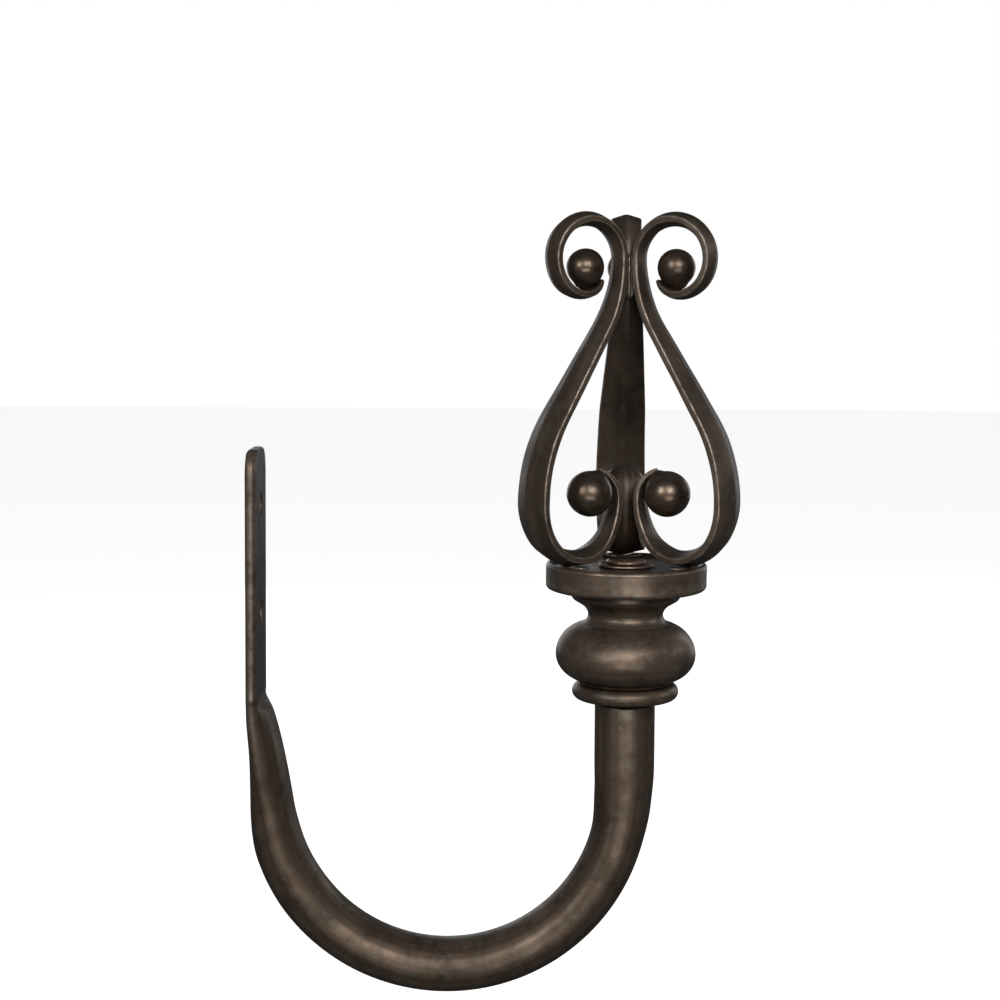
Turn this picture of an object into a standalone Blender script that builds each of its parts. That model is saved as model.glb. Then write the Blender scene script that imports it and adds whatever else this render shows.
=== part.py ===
"""Wall curtain holdback: a flattened tube bent to a U, with a caged scroll finial screwed on its end.

Units are metres and +Z is up. X points away from the wall, and the wall is the plane X = 0. The origin
is on the back face of the mounting strap, midway between its two screw holes. Constants are in
millimetres, and every mesh is scaled by MM when it is made.
"""

import math

import bmesh
import bpy
from mathutils import Matrix, Vector

MM = 0.001
GAP = 0.3

# Hook: one steel tube, pressed flat at the wall end and bent to a U.
TUBE_OD = 16.0
TUBE_WALL = 1.5
TUBE_SIDES = 24
BEND_RADIUS = 47.0
BEND_X = 52.3
BEND_Z = -62.3
BEND_T = 14.1
BEND_STEPS = 24
REACH = 99.6
MOUTH_Z = -38.15
BORE_END_T = 8.5
STRAP_T = 2 * TUBE_WALL
STRAP_TOP = 29.3
STRAP_CORNER = 6.7
STRAP_TIP_W = 10.6
STRAP_BOTTOM = -36.65
PRESS_RISE = 1.34
PRESS_POWER = 0.55
HOLE_D = 5.6
HOLE_PITCH = 28.7

# Turned pieces on the tube's axis. Heights here and for the cage are above the tube's mouth.
TURN_SIDES = 32
SHANK_R = 3.0
BORE_R = 3.4
THREAD_R = 3.05
SHANK_END = -14.0
PLUG_H = (-16.0, -0.3)
SEAT_H = (0.3, 1.0)
RING_H = (1.3, 5.4)
RING_R = 14.15
BULB_H = (5.7, 30.1)
BULB_R = 18.6
NECK_R = 9.85
DISH_H = (30.4, 37.6)
DISH_R = 21.3
DISH_FLOOR = 36.5
WASHER_H = (36.8, 37.3)
HEAD_H = (37.6, 38.8)
HEAD_R = 5.3

# Cage: three scroll bands, 120 degrees apart, each a strip with a low ridge along both faces.
CAGE = {"left": 210.0, "right": 330.0, "back": 90.0}
BELLY = (28.7, 54.5)
BELLY_SECTION = (13.8, 1.6, 1.7)
STEP_DEG = 8.0
# Each stretch is (radius, sweep in degrees, width, edge thickness, ridge height) with the section at
# its end. A negative sweep turns clockwise, and a sweep of 0 is a straight of that length.
DOWNWARD = (
    (18.0, -30.0, 13.0, 1.6, 1.6),
    (11.5, -60.0, 12.6, 1.6, 1.4),
    (11.5, -28.0, 10.2, 1.6, 1.2),
    (11.0, -32.0, 7.2, 1.6, 0.8),
    (20.5, -30.0, 5.6, 1.5, 0.6),
    (7.6, -42.0, 3.4, 1.1, 0.35),
    (7.2, -26.0, 0.8, 0.7, 0.15),
)
UPWARD = (
    (42.0, 32.0, 12.6, 1.6, 1.6),
    (26.4, 0.0, 9.0, 1.6, 1.4),
    (35.0, -32.0, 6.0, 1.4, 0.9),
    (10.1, -90.0, 8.2, 1.6, 1.3),
    (10.0, -90.0, 6.6, 1.5, 1.1),
    (10.2, -40.0, 6.7, 1.6, 0.9),
    (8.1, -50.0, 6.6, 1.6, 0.7),
    (6.9, -40.0, 4.4, 1.3, 0.45),
    (6.7, -20.0, 1.6, 0.8, 0.15),
)
LOWER_BALL = (11.7, 56.4, 6.05)
UPPER_BALL = (13.6, 115.25, 4.95)
BRAZE_R = 0.6
BRAZE_H = (107.0, 119.0)
FOOT_R = 16.3

BRONZE = (0.050, 0.040, 0.033)
BRASS = (0.45, 0.30, 0.12)


def clear_scene():
    """Remove every object of the open scene."""
    for obj in list(bpy.data.objects):
        bpy.data.objects.remove(obj, do_unlink=True)


def material(name, colour, roughness, metallic):
    """A Principled material with one base colour."""
    made = bpy.data.materials.new(name)
    made.use_nodes = True
    shader = made.node_tree.nodes["Principled BSDF"]
    shader.inputs["Base Color"].default_value = (*colour, 1.0)
    shader.inputs["Roughness"].default_value = roughness
    shader.inputs["Metallic"].default_value = metallic
    return made


def add_object(name, mesh, place, look):
    """Link a mesh as a named object at a place in millimetres."""
    obj = bpy.data.objects.new(name, mesh)
    bpy.context.scene.collection.objects.link(obj)
    obj.location = Vector(place) * MM
    obj.data.materials.append(look)
    return obj


def mesh_from(name, build, smooth=True, sharp_deg=35.0):
    """Make a mesh from a bmesh that build fills, scaled from millimetres, with outward normals."""
    form = bmesh.new()
    build(form)
    bmesh.ops.scale(form, vec=(MM, MM, MM), verts=form.verts)
    bmesh.ops.recalc_face_normals(form, faces=form.faces)
    mesh = bpy.data.meshes.new(name)
    form.to_mesh(mesh)
    form.free()
    if smooth:
        mesh.shade_smooth()
        mesh.set_sharp_from_angle(angle=math.radians(sharp_deg))
    return mesh


def loft(form, rings):
    """Skin a list of equal closed rings and cap both ends."""
    rows = [[form.verts.new(point) for point in ring] for ring in rings]
    count = len(rows[0])
    for low, high in zip(rows, rows[1:]):
        for i in range(count):
            j = (i + 1) % count
            form.faces.new((low[i], low[j], high[j], high[i]))
    form.faces.new(reversed(rows[0]))
    form.faces.new(rows[-1])


def arc(centre, radii, start_deg, end_deg, steps):
    """Points of an elliptical arc in (radius, height), with both ends."""
    points = []
    for i in range(steps + 1):
        angle = math.radians(start_deg + (end_deg - start_deg) * i / steps)
        points.append((centre[0] + radii[0] * math.cos(angle), centre[1] + radii[1] * math.sin(angle)))
    return points


def turned(name, outline, look, sides=TURN_SIDES):
    """Turn a (radius, height) outline about the finial's axis, closed at the axis or on itself."""

    def build(form):
        rows = []
        for radius, height in outline:
            if radius == 0.0:
                rows.append([form.verts.new((0.0, 0.0, height))])
                continue
            ring = []
            for i in range(sides):
                angle = math.tau * i / sides
                ring.append(form.verts.new((radius * math.cos(angle), radius * math.sin(angle), height)))
            rows.append(ring)
        pairs = list(zip(rows, rows[1:]))
        if outline[0][0] > 0.0:
            pairs.append((rows[-1], rows[0]))
        for low, high in pairs:
            for i in range(sides):
                j = (i + 1) % sides
                if len(low) == 1:
                    form.faces.new((low[0], high[j], high[i]))
                elif len(high) == 1:
                    form.faces.new((low[i], low[j], high[0]))
                else:
                    form.faces.new((low[i], low[j], high[j], high[i]))

    return add_object(name, mesh_from(name, build), (REACH, 0.0, MOUTH_Z), look)


def washer(name, radius, heights, look, bore=BORE_R):
    """A plain ring with square edges."""
    low, high = heights
    return turned(name, [(bore, low), (radius, low), (radius, high), (bore, high)], look)


def tube_section(thickness, width, roundness):
    """Section of the tube as (across X, across Y) from its centre.

    The pressed strap is a stadium. Below the press it swells to a D, whose back stays flat against the
    wall, and the D becomes an ellipse. roundness is (share of the D, share of the ellipse).
    """
    edge = STRAP_T / 2
    flat_half = width / 2 - edge
    edge_deg = 60.0
    points = []
    for i in range(TUBE_SIDES):
        angle = math.tau * i / TUBE_SIDES
        c, s = math.cos(angle), math.sin(angle)
        tilt = math.degrees(math.asin(min(1.0, abs(s))))
        if tilt <= edge_deg:
            flat = Vector((edge, flat_half * abs(s) / math.sin(math.radians(edge_deg))))
        else:
            turn = math.radians(90.0 * (tilt - edge_deg) / (90.0 - edge_deg))
            flat = Vector((edge * math.cos(turn), flat_half + edge * math.sin(turn)))
        flat = Vector((edge + math.copysign(flat.x, c), math.copysign(flat.y, s)))
        swell = Vector((edge + (thickness - edge) * c, width / 2 * s)) if c > 0.0 else flat
        ellipse = Vector((thickness / 2 * (1.0 + c), width / 2 * s))
        point = flat.lerp(swell, roundness[0]).lerp(ellipse, roundness[1])
        points.append((point.x - thickness / 2, point.y))
    return points


def pressed_width(thickness):
    """Width of the tube pressed to a thickness, with its outline as long as the round tube's."""
    return thickness + math.pi / 2 * (TUBE_OD - thickness)


def hook_stations():
    """Stations down the strap, round the bend and up to the mouth.

    Each is (centre x, centre z, direction in degrees, thickness, width, roundness).
    """
    stations = []
    for z, width in (
        (STRAP_TOP, STRAP_TIP_W),
        (STRAP_TOP - STRAP_CORNER, pressed_width(STRAP_T)),
        (STRAP_BOTTOM, pressed_width(STRAP_T)),
    ):
        stations.append((STRAP_T / 2, z, -90.0, STRAP_T, width, (0.0, 0.0)))
    for depth in (0.3, 1.2, 2.8, 5.0, 8.0, 12.0, 17.0, 22.5, 28.0, 33.0):
        thickness = STRAP_T + PRESS_RISE * depth**PRESS_POWER
        roundness = (min(1.0, depth / 2.8), min(1.0, max(0.0, depth - 5.0) / 28.0))
        stations.append(
            (thickness / 2, STRAP_BOTTOM - depth, -90.0, thickness, pressed_width(thickness), roundness)
        )
    first_deg = 180.0 + 15.0
    for i in range(BEND_STEPS + 1):
        angle = first_deg + (360.0 - first_deg) * i / BEND_STEPS
        x = BEND_X + BEND_RADIUS * math.cos(math.radians(angle))
        z = BEND_Z + BEND_RADIUS * math.sin(math.radians(angle))
        swelling = min(1.0, i / 3)
        thickness = 13.2 + (BEND_T - 13.2) * swelling
        thickness += (TUBE_OD - 0.6 - thickness) * max(0.0, (angle - 346.0) / 14.0)
        stations.append((x, z, angle + 90.0, thickness, pressed_width(thickness), (1.0, 1.0)))
    for z in (BEND_Z + 7.0, MOUTH_Z):
        stations.append((REACH, z, 90.0, TUBE_OD, TUBE_OD, (1.0, 1.0)))
    return stations


def hook_ring(station, inset):
    """The ring of points of one station, drawn in by inset."""
    x, z, heading, thickness, width, roundness = station
    across = Vector((-math.sin(math.radians(heading)), 0.0, math.cos(math.radians(heading))))
    centre = Vector((x, 0.0, z))
    ring = []
    for a, b in tube_section(thickness - 2 * inset, width - 2 * inset, roundness):
        ring.append(centre + across * a + Vector((0.0, b, 0.0)))
    return ring


def make_hook(look):
    """The tube: outer skin, mouth and bore in one closed skin, then the two screw holes."""
    stations = hook_stations()
    rings = [hook_ring(station, 0.0) for station in stations]
    for station in reversed(stations):
        if station[3] >= BORE_END_T:
            rings.append(hook_ring(station, TUBE_WALL))
    hook = add_object("hook_tube", mesh_from("hook_tube", lambda form: loft(form, rings)), (0, 0, 0), look)
    for side in (-1, 1):
        drill = round_cutter(f"screw_drill_{side}", HOLE_D / 2, 4 * STRAP_T)
        drill.location = Vector((STRAP_T / 2, 0.0, side * HOLE_PITCH / 2)) * MM
        cut = hook.modifiers.new(f"screw_hole_{side}", "BOOLEAN")
        cut.operation = "DIFFERENCE"
        cut.object = drill
    return hook


def round_cutter(name, radius, length):
    """A hidden cylinder along X for cutting holes."""

    def build(form):
        bmesh.ops.create_cone(
            form,
            cap_ends=True,
            segments=24,
            radius1=radius,
            radius2=radius,
            depth=length,
            matrix=Matrix.Rotation(math.radians(90.0), 4, "Y") @ Matrix.Rotation(math.radians(7.5), 4, "Z"),
        )

    cutter = bpy.data.objects.new(name, mesh_from(name, build, smooth=False))
    bpy.context.scene.collection.objects.link(cutter)
    cutter.hide_render = True
    cutter.display_type = "WIRE"
    return cutter


def walk(start, heading, section, stretches):
    """Follow arcs and straights from a point, as rows of (radius, height, heading, w, t, ridge)."""
    r, h = start
    rows = [(r, h, heading, *section)]
    for size, sweep, *end in stretches:
        steps = max(1, round(abs(sweep) / STEP_DEG)) if sweep else 4
        begin = section
        for i in range(1, steps + 1):
            turn = sweep / steps
            chord = size / steps if sweep == 0 else 2 * size * math.sin(math.radians(abs(turn)) / 2)
            heading += turn / 2
            r += chord * math.cos(math.radians(heading))
            h += chord * math.sin(math.radians(heading))
            heading += turn / 2
            part = i / steps
            section = tuple(a + (b - a) * part for a, b in zip(begin, end))
            rows.append((r, h, heading, *section))
    return rows


def band_rows():
    """The whole band from its lower tip to its upper end."""
    down = walk(BELLY, -90.0, BELLY_SECTION, DOWNWARD)
    up = walk(BELLY, 90.0, BELLY_SECTION, UPWARD)
    lower = [(r, h, heading + 180.0, w, t, ridge) for r, h, heading, w, t, ridge in down]
    return lower[:0:-1] + up


def make_band(name, look):
    """One scroll band in the plane of X and Z, its six-sided section swept along the path."""
    rings = []
    for r, h, heading, w, t, ridge in band_rows():
        side = Vector((math.sin(math.radians(heading)), 0.0, -math.cos(math.radians(heading))))
        centre = Vector((r, 0.0, h))
        ring = []
        for out, along in (
            (t / 2, -w / 2),
            (t / 2 + ridge, 0.0),
            (t / 2, w / 2),
            (-t / 2, w / 2),
            (-t / 2 - ridge, 0.0),
            (-t / 2, -w / 2),
        ):
            ring.append(centre + side * out + Vector((0.0, along, 0.0)))
        rings.append(ring)
    return mesh_from(name, lambda form: loft(form, rings), sharp_deg=12.0)


def make_ball(name, radius):
    """A forged ball."""
    return mesh_from(
        name,
        lambda form: bmesh.ops.create_uvsphere(form, u_segments=20, v_segments=12, radius=radius),
        sharp_deg=60.0,
    )


def make_foot(name):
    """A weld pad that fills the space between the dish and a band's lower ridge."""
    floor = DISH_FLOOR + GAP
    outline = ((-4.2, floor), (4.2, floor), (4.8, floor + 0.8), (4.2, floor + 1.3), (0.0, floor + 0.4))
    outline += ((-4.2, floor + 1.3), (-4.8, floor + 0.8))

    def build(form):
        loft(form, [[(x, y, z) for y, z in outline] for x in (-2.4, 1.6)])

    return mesh_from(name, build, smooth=False)


def place_in_cage(name, mesh, degrees, radius, height, look):
    """Put a cage piece at a radius and height, turned about the finial's axis."""
    angle = math.radians(degrees)
    place = (REACH + radius * math.cos(angle), radius * math.sin(angle), MOUTH_Z + height)
    obj = add_object(name, mesh, place, look)
    obj.rotation_euler = (0.0, 0.0, angle)
    return obj


def make_stack(bronze, brass):
    """The turned pieces from the plug in the tube's mouth to the bolt's head."""
    turned(
        "thread_plug",
        [(THREAD_R, PLUG_H[0]), (TUBE_OD / 2 - TUBE_WALL - GAP, PLUG_H[0])]
        + [(TUBE_OD / 2 - TUBE_WALL - GAP, PLUG_H[1]), (THREAD_R, PLUG_H[1])],
        brass,
        sides=TUBE_SIDES,
    )
    washer("seat_washer", TUBE_OD / 2 - GAP, SEAT_H, bronze)
    middle = (RING_H[0] + RING_H[1]) / 2
    bead = (RING_H[1] - RING_H[0]) / 2
    turned(
        "bead_ring",
        [(BORE_R, RING_H[0])] + arc((RING_R - 1.9, middle), (1.9, bead), -90, 90, 8) + [(BORE_R, RING_H[1])],
        bronze,
    )
    belly = 13.2
    bulb = [(BORE_R, BULB_H[0]), (12.4, BULB_H[0])]
    bulb += arc((NECK_R, belly), (BULB_R - NECK_R, 7.2), -72, 0, 7)
    bulb += arc((NECK_R, belly), (BULB_R - NECK_R, 8.5), 9, 79, 8)
    bulb += [(10.55, 22.3), (10.05, 23.2), (NECK_R + 0.1, 24.1), (10.4, 25.2), (11.3, 26.2), (12.8, 27.1)]
    bulb += [(14.0, 27.8), (14.5, 28.5), (14.5, BULB_H[1]), (BORE_R, BULB_H[1])]
    turned("bulb", bulb, bronze)
    dish = [(BORE_R, DISH_H[0]), (19.6, DISH_H[0])]
    dish += arc((DISH_R - 1.2, DISH_H[0] + 1.4), (1.2, 1.2), -70, 0, 3)
    dish += [(DISH_R, 36.9), (DISH_R - 0.25, 37.35), (DISH_R - 0.8, DISH_H[1]), (20.1, DISH_H[1])]
    dish += [(19.4, DISH_FLOOR), (BORE_R, DISH_FLOOR)]
    turned("dish", dish, bronze)
    washer("bolt_washer", 7.3, WASHER_H, bronze)
    low, high = HEAD_H
    bolt = [(0.0, SHANK_END), (SHANK_R - 0.6, SHANK_END), (SHANK_R, SHANK_END + 0.8), (SHANK_R, low)]
    bolt += [(HEAD_R, low), (HEAD_R, low + 0.3)]
    bolt += arc((0.0, low + 0.3), (HEAD_R, high - low - 0.3), 20, 75, 4) + [(0.0, high)]
    turned("finial_bolt", bolt, bronze, sides=TUBE_SIDES)


def make_cage(bronze):
    """Bands, balls and foot welds at three bearings, and the braze that joins the bands."""
    band = make_band("band", bronze)
    lower_ball = make_ball("lower_ball", LOWER_BALL[2])
    upper_ball = make_ball("upper_ball", UPPER_BALL[2])
    foot = make_foot("foot_weld")
    for side, degrees in CAGE.items():
        place_in_cage(f"band_{side}", band, degrees, 0.0, 0.0, bronze)
        place_in_cage(f"lower_ball_{side}", lower_ball, degrees, LOWER_BALL[0], LOWER_BALL[1], bronze)
        place_in_cage(f"upper_ball_{side}", upper_ball, degrees, UPPER_BALL[0], UPPER_BALL[1], bronze)
        place_in_cage(f"foot_weld_{side}", foot, degrees, FOOT_R, 0.0, bronze)
    low, high = BRAZE_H
    braze = [(0.0, low), (BRAZE_R, low + 0.6), (BRAZE_R, high - 0.6), (0.0, high)]
    turned("neck_braze", braze, bronze, sides=12)


def main():
    """Build the holdback."""
    clear_scene()
    bronze = material("oil_rubbed_bronze", BRONZE, 0.42, 1.0)
    brass = material("plug_brass", BRASS, 0.4, 1.0)
    make_hook(bronze)
    make_stack(bronze, brass)
    make_cage(bronze)


main()
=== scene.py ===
"""Scene of a wall curtain holdback: a pressed and bent tube with a caged scroll finial.

Every fine surface is worked out in millimetres on a grid of points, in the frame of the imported
model, and replaces the plain node of the same name.
"""

import logging
import math
from collections.abc import Callable
from dataclasses import dataclass, field, replace
from enum import Enum

import bmesh
import bpy
import numpy as np
from mathutils import Matrix, Vector


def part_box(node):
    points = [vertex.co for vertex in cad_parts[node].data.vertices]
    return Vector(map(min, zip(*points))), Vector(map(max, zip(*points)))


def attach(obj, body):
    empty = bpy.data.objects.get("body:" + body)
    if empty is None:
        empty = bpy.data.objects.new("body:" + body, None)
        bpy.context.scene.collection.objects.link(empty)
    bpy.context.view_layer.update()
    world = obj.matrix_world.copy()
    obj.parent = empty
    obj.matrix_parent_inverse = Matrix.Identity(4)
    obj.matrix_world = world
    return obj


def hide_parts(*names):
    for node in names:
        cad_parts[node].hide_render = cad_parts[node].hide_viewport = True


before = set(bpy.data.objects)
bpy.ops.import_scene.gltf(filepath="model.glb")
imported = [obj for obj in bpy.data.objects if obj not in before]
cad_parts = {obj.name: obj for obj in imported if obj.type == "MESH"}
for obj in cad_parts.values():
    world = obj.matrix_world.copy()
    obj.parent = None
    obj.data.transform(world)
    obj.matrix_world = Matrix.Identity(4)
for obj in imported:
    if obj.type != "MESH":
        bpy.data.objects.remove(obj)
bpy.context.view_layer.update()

LOG = logging.getLogger("holdback")
MM = 0.001
Array = np.ndarray
Colour = tuple[float, float, float]
Socket = bpy.types.NodeSocket
Sockets = dict[str, Socket]
Feed = Socket | float | Colour


# ---------------------------------------------------------------- surfaces


def grid_quads(rows: int, cols: int, wrap_rows: bool, wrap_cols: bool) -> Array:
    """Join neighbouring points of a grid into quads.

    Args:
        rows: Number of rows of points.
        cols: Number of points in a row.
        wrap_rows: Whether the last row joins the first.
        wrap_cols: Whether the last column joins the first.

    Returns:
        An array of four point numbers for each quad.
    """
    i = np.arange(rows if wrap_rows else rows - 1)[:, None]
    j = np.arange(cols if wrap_cols else cols - 1)[None, :]
    i_next, j_next = (i + 1) % rows, (j + 1) % cols
    corners = (i * cols + j, i * cols + j_next, i_next * cols + j_next, i_next * cols + j)
    return np.stack(corners, axis=-1).reshape(-1, 4)


def smooth_step(low: float, high: float, value: Array) -> Array:
    """The cubic 3t^2 - 2t^3 of a value's share t between low and high."""
    t = np.clip((value - low) / (high - low), 0.0, 1.0)
    return t * t * (3.0 - 2.0 * t)


def softened(values: Array, reach: int) -> Array:
    """Average an array along its first axis with a raised cosine window.

    Args:
        values: Array whose first axis runs along a path.
        reach: Half width of the window, in samples.

    Returns:
        The averaged array, with its first and last rows kept.
    """
    window = 1.0 + np.cos(np.linspace(-math.pi, math.pi, 2 * reach + 3)[1:-1])
    window /= window.sum()
    flat = values.reshape(len(values), -1)
    before = 2 * flat[:1] - flat[reach:0:-1]
    after = 2 * flat[-1:] - flat[-2 : -2 - reach : -1]
    padded = np.concatenate([before, flat, after])
    parts = np.stack([padded[k : k + len(flat)] * window[k] for k in range(2 * reach + 1)])
    return parts.sum(axis=0).reshape(values.shape)


def rounded_ring(corners: Array, reach: Array, steps: int) -> tuple[Array, Array]:
    """Round the corners of closed polygons, each by a quadratic curve.

    A corner P between A and B, which lie on its two sides at the corner's reach, becomes
    (1 - t)^2 A + 2 t (1 - t) P + t^2 B for t from 0 to 1. The reach is at most 0.48 of a side.

    Args:
        corners: Polygons as (count, corners, 2).
        reach: The reach of each corner, broadcast to (count, corners).
        steps: Number of points made for each corner.

    Returns:
        The rounded polygons as (count, corners * steps, 2), and each point's closeness to its
        corner, from 0 to 1, as (count, corners * steps).
    """
    reach = np.broadcast_to(reach, corners.shape[:2])[..., None]
    ends = []
    for shift in (1, -1):
        side = np.roll(corners, shift, axis=1) - corners
        length = np.linalg.norm(side, axis=-1, keepdims=True)
        ends.append((corners + side * np.minimum(reach / length, 0.48))[:, :, None])
    t = np.linspace(0.0, 1.0, steps)[None, None, :, None]
    curve = (1 - t) ** 2 * ends[0] + 2 * t * (1 - t) * corners[:, :, None] + t**2 * ends[1]
    close = np.broadcast_to(4 * t * (1 - t), curve.shape[:3] + (1,))[..., 0]
    count = len(corners)
    return curve.reshape(count, -1, 2), close.reshape(count, -1)


@dataclass
class Surface:
    """A closed surface on a grid of points, in millimetres.

    flow holds each point's place along and around the piece, which the grain follows, and wear
    says from 0 to 1 how much hands and cloth rub the point.
    """

    points: Array
    flow: Array
    wear: Array
    wrap_rows: bool = False
    sharp_deg: float = 42.0

    def to_object(self, name: str) -> bpy.types.Object:
        """Make a Blender object of the surface.

        Args:
            name: Name of the new object.

        Returns:
            The object, with its place in its mesh and both attributes on its points.
        """
        rows, cols = self.points.shape[:2]
        points = self.points.reshape(-1, 3)
        quads = grid_quads(rows, cols, self.wrap_rows, True)
        a, b, c, d = (points[quads[:, k]] for k in range(4))
        volume = np.einsum("ij,ij->", a, np.cross(b, c)) + np.einsum("ij,ij->", a, np.cross(c, d))
        if volume < 0.0:
            quads = quads[:, ::-1]
        mesh = bpy.data.meshes.new(name)
        mesh.from_pydata((points * MM).tolist(), [], quads.tolist())
        for label, kind, part, values in (
            ("flow", "FLOAT_VECTOR", "vector", self.flow * MM),
            ("wear", "FLOAT", "value", self.wear),
        ):
            layer = mesh.attributes.new(label, kind, "POINT")
            layer.data.foreach_set(part, np.ascontiguousarray(values, dtype=np.float32).ravel())
        form = bmesh.new()
        form.from_mesh(mesh)
        bmesh.ops.remove_doubles(form, verts=form.verts, dist=1e-7)
        bmesh.ops.dissolve_degenerate(form, edges=form.edges, dist=1e-8)
        form.to_mesh(mesh)
        form.free()
        mesh.validate()
        mesh.shade_smooth()
        mesh.set_sharp_from_angle(angle=math.radians(self.sharp_deg))
        obj = bpy.data.objects.new(name, mesh)
        bpy.context.scene.collection.objects.link(obj)
        return obj


def closed_ends(rings: Array) -> Array:
    """Add a row at each end that gathers that end's ring in its middle."""
    ends = (rings[:1], rings[-1:])
    first, last = (np.broadcast_to(end.mean(axis=1, keepdims=True), end.shape) for end in ends)
    return np.concatenate([first, rings, last])


def running(steps: Array) -> Array:
    """The running sum of steps, from 0."""
    return np.concatenate([[0.0], np.cumsum(steps)])


def full_turn(count: int) -> Array:
    """Angles that go once round, as one row."""
    return np.linspace(0.0, math.tau, count, endpoint=False)[None, :]


def repeated_ends(values: Array) -> Array:
    """Repeat the first and the last row, to go with closed_ends."""
    return np.concatenate([values[:1], values, values[-1:]])


# ---------------------------------------------------------------- finishes


class Grain(Enum):
    """Which way the fine marks of a surface run: their density along and around, per metre."""

    DRAWN = (26.0, 2300.0)
    TURNED = (2600.0, 60.0)
    FORGED = (240.0, 900.0)


class Kind(Enum):
    """What a socket of an effect carries."""

    NUMBER = "NodeSocketFloat"
    COLOUR = "NodeSocketColor"
    PLACE = "NodeSocketVector"


@dataclass
class Wiring:
    """A node tree, with short ways to add its nodes and to join them."""

    tree: bpy.types.NodeTree

    def feed(self, socket: Socket, value: Feed) -> None:
        """Link a socket to another one, or set it to a plain number or colour.

        Args:
            socket: The input to feed.
            value: What it gets.
        """
        if isinstance(value, bpy.types.NodeSocket):
            self.tree.links.new(value, socket)
        elif socket.type == "RGBA":
            socket.default_value = (*value, 1.0)
        else:
            socket.default_value = value

    def node(self, kind: str, **feeds: Feed) -> bpy.types.Node:
        """Add a shader node of a kind and feed its named inputs.

        Args:
            kind: The node's type, without its ShaderNode prefix.
            feeds: Value or socket by the name of the input.

        Returns:
            The new node.
        """
        node = self.tree.nodes.new(f"ShaderNode{kind}")
        for label, value in feeds.items():
            self.feed(node.inputs[label], value)
        return node

    def maths(self, operation: str, *terms: Feed) -> Socket:
        """Work out one operation on its terms, in order.

        Args:
            operation: Name of the operation.
            terms: Its values or sockets.

        Returns:
            The result's socket.
        """
        node = self.node("Math")
        node.operation = operation
        for socket, term in zip(node.inputs, terms):
            self.feed(socket, term)
        return node.outputs[0]

    def noise(self, place: Socket, scale: Feed, detail: float, roughness: float = 0.5) -> Socket:
        """Add a noise texture and give its value."""
        node = self.node("TexNoise", Vector=place, Scale=scale, Detail=detail, Roughness=roughness)
        return node.outputs["Fac"]

    def share(self, value: Socket, low: float, high: float, most: float = 1.0) -> Socket:
        """Take low to 0 and high to the most, and clamp what lies outside.

        Args:
            value: The socket to take.
            low: Its value at 0.
            high: Its value at the most.
            most: The largest result.

        Returns:
            The result's socket.
        """
        node = self.node("MapRange", Value=value)
        for label, end in (("From Min", low), ("From Max", high), ("To Max", most)):
            node.inputs[label].default_value = end
        return node.outputs["Result"]

    def blend(self, share: Socket, first: Feed, second: Feed) -> Socket:
        """Mix two colours, the second by the share.

        Args:
            share: How much of the second colour there is.
            first: Colour at a share of 0.
            second: Colour at a share of 1.

        Returns:
            The mixed colour's socket.
        """
        node = self.node("Mix")
        node.data_type = "RGBA"
        self.feed(node.inputs[0], share)
        for socket, colour in zip([s for s in node.inputs if s.type == "RGBA"], (first, second)):
            self.feed(socket, colour)
        return next(s for s in node.outputs if s.type == "RGBA")

    def attribute(self, name: str, output: str) -> Socket:
        """Read one of the piece's own attributes."""
        node = self.node("Attribute")
        node.attribute_name = name
        return node.outputs[output]

    def bump(self, height: Socket, depth: float, **before: Socket) -> Socket:
        """Raise the surface by a height, of a depth in metres, after an earlier Normal."""
        return self.node("Bump", Distance=depth, Height=height, **before).outputs["Normal"]


@dataclass(frozen=True)
class Effect:
    """A shader node group that several finishes share, built once.

    wire takes the open group and its inputs by name, and gives its outputs by name.
    """

    name: str
    inputs: dict[str, Kind]
    outputs: dict[str, Kind]
    wire: Callable[[Wiring, Sockets], Sockets]

    def tree(self) -> bpy.types.NodeTree:
        """Make the group when it is first asked for.

        Returns:
            The group's tree, with its named sockets.
        """
        found = bpy.data.node_groups.get(self.name)
        if found:
            return found
        tree = bpy.data.node_groups.new(self.name, "ShaderNodeTree")
        for way, sockets in (("INPUT", self.inputs), ("OUTPUT", self.outputs)):
            for label, kind in sockets.items():
                tree.interface.new_socket(name=label, in_out=way, socket_type=kind.value)
        given = tree.nodes.new("NodeGroupInput").outputs
        result = tree.nodes.new("NodeGroupOutput").inputs
        for label, socket in self.wire(Wiring(tree), given).items():
            tree.links.new(socket, result[label])
        return tree

    def place(self, wiring: Wiring, **feeds: Feed) -> Sockets:
        """Place the effect in a material with its own values.

        Args:
            wiring: The material's tree.
            feeds: Value or socket by the name of the input.

        Returns:
            The outputs of the placed group.
        """
        node = wiring.node("Group")
        node.node_tree = self.tree()
        for label, value in feeds.items():
            wiring.feed(node.inputs[label], value)
        return node.outputs


def patina(wiring: Wiring, given: Sockets) -> Sockets:
    """Cloudy change between three tints, with a mask of the clouds.

    Args:
        wiring: The open group.
        given: Its input sockets by name.

    Returns:
        The group's outputs by name.
    """
    broad = wiring.noise(given["Vector"], given["Scale"], 5.0, 0.62)
    fine = wiring.noise(given["Vector"], wiring.maths("MULTIPLY", given["Scale"], 3.7), 3.0)
    cloud = wiring.share(broad, 0.34, 0.66)
    darker = wiring.blend(cloud, given["Dark"], given["Middle"])
    cooler = wiring.blend(wiring.share(fine, 0.50, 0.72), darker, given["Cool"])
    return {"Color": cooler, "Cloud": cloud}


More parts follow.
